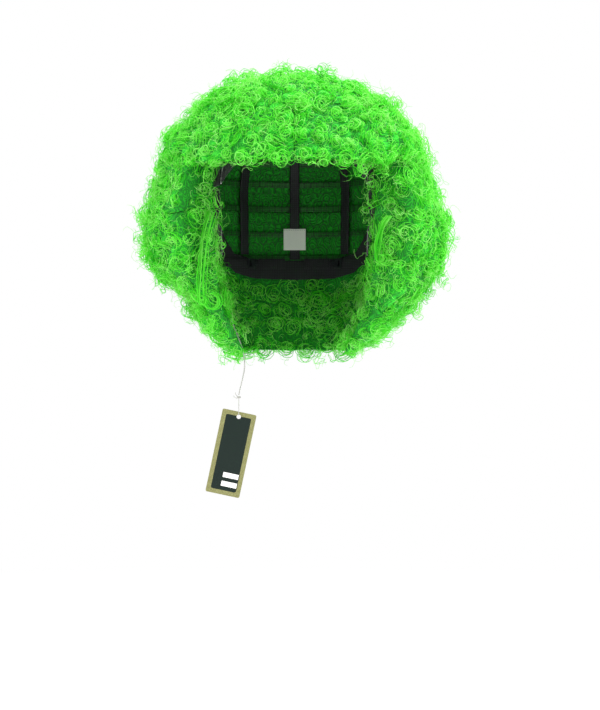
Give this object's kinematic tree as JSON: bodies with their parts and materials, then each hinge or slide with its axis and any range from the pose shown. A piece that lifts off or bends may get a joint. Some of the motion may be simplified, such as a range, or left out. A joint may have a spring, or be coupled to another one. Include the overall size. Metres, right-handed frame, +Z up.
{
  "type": "costume wig",
  "caption": "Curly afro costume wig: ringlet hair on a wefted stretch cap with ear tabs, nape adjuster straps, label and a hang tag on a string.",
  "frame": {"origin": "middle of the wearer's head at brow level, where a hat band would sit", "axes": "+Z up through the crown, front of the wig faces -Y, +X towards the wearer's left ear"},
  "size_m": [0.2817, 0.2637, 0.3873],
  "materials": {
    "hair": "curled synthetic fibre, soft sheen",
    "weft": "machine-stitched header of fibre and thread",
    "net": "knitted stretch net",
    "velvet": "short-pile lined band",
    "elastic": "woven elastic",
    "ribbon": "grosgrain ribbon",
    "stay": "bendable strip",
    "hook": "moulded nylon",
    "label": "blank satin label",
    "string": "two-ply cotton string",
    "card": "coated card, blank, with a dull gold edge"
  },
  "bodies": {
    "root": {"hair_crown_front": "hair", "hair_crown_back": "hair", "hair_fringe_left": "hair", "hair_fringe_right": "hair", "hair_top_left": "hair", "hair_top_right": "hair", "hair_top_back": "hair", "hair_temple_left": "hair", "hair_temple_right": "hair", "hair_cheek_left": "hair", "hair_cheek_right": "hair", "hair_jaw_left": "hair", "hair_jaw_right": "hair", "hair_neck_left": "hair", "hair_neck_right": "hair", "hair_back_upper": "hair", "hair_back_middle": "hair", "hair_back_lower": "hair", "hair_nape": "hair", "cap_net": "net", "front_band": "velvet", "side_band_left": "velvet", "side_band_right": "velvet", "nape_band": "elastic", "rib_left": "ribbon", "rib_back_left": "ribbon", "rib_centre": "ribbon", "rib_back_right": "ribbon", "rib_right": "ribbon", "loop_tape_left": "ribbon", "loop_tape_right": "ribbon", "size_label": "label", "weft_crown": "weft", "weft_fringe": "weft", "weft_top": "weft", "weft_temple_left": "weft", "weft_temple_right": "weft", "weft_back_1": "weft", "weft_back_2": "weft", "weft_back_3": "weft", "weft_back_4": "weft", "weft_back_5": "weft", "weft_nape": "weft", "tag_string": "string"},
    "ear_tab_left": {"ear_tab_left": "velvet", "ear_stay_left": "stay"},
    "ear_tab_right": {"ear_tab_right": "velvet", "ear_stay_right": "stay"},
    "strap_left": {"strap_left": "elastic"},
    "strap_right": {"strap_right": "elastic"},
    "hook_left": {"hook_left": "hook"},
    "hook_right": {"hook_right": "hook"},
    "tag_loop": {"tag_loop": "string"},
    "hang_tag": {"hang_tag": "card"}
  },
  "joints": [
    {"name": "ear_tab_left_flex", "type": "hinge", "parent": "root", "child": "ear_tab_left", "pos_m": [0.07044, -0.03624, -0.0012], "axis": [0.3018, 0.9534, 0], "range_deg": [0, 20]},
    {"name": "ear_tab_right_flex", "type": "hinge", "parent": "root", "child": "ear_tab_right", "pos_m": [-0.07044, -0.03624, -0.0012], "axis": [0.3018, -0.9534, 0], "range_deg": [0, 20]},
    {"name": "strap_left_swing", "type": "hinge", "parent": "root", "child": "strap_left", "pos_m": [0.06511, 0.04248, -0.063], "axis": [0, 0, 1], "range_deg": [0, 50]},
    {"name": "strap_right_swing", "type": "hinge", "parent": "root", "child": "strap_right", "pos_m": [-0.06511, 0.04248, -0.063], "axis": [0, 0, -1], "range_deg": [0, 50]},
    {"name": "hook_left_pull", "type": "slide", "parent": "strap_left", "child": "hook_left", "axis": [-0.8996, 0.4368, 0], "range_m": [0, 0.01], "stiffness_N_per_m": 8},
    {"name": "hook_right_pull", "type": "slide", "parent": "strap_right", "child": "hook_right", "axis": [0.8996, 0.4368, 0], "range_m": [0, 0.01], "stiffness_N_per_m": 8},
    {"name": "tag_twist", "type": "hinge", "parent": "root", "child": "tag_loop", "pos_m": [-0.05, -0.005, -0.19], "axis": [0, 0, 1], "range_deg": [-90, 90]},
    {"name": "tag_swing", "type": "hinge", "parent": "tag_loop", "child": "hang_tag", "pos_m": [-0.05, -0.005, -0.202], "axis": [0, 1, 0], "range_deg": [-40, 20]}
  ]
}
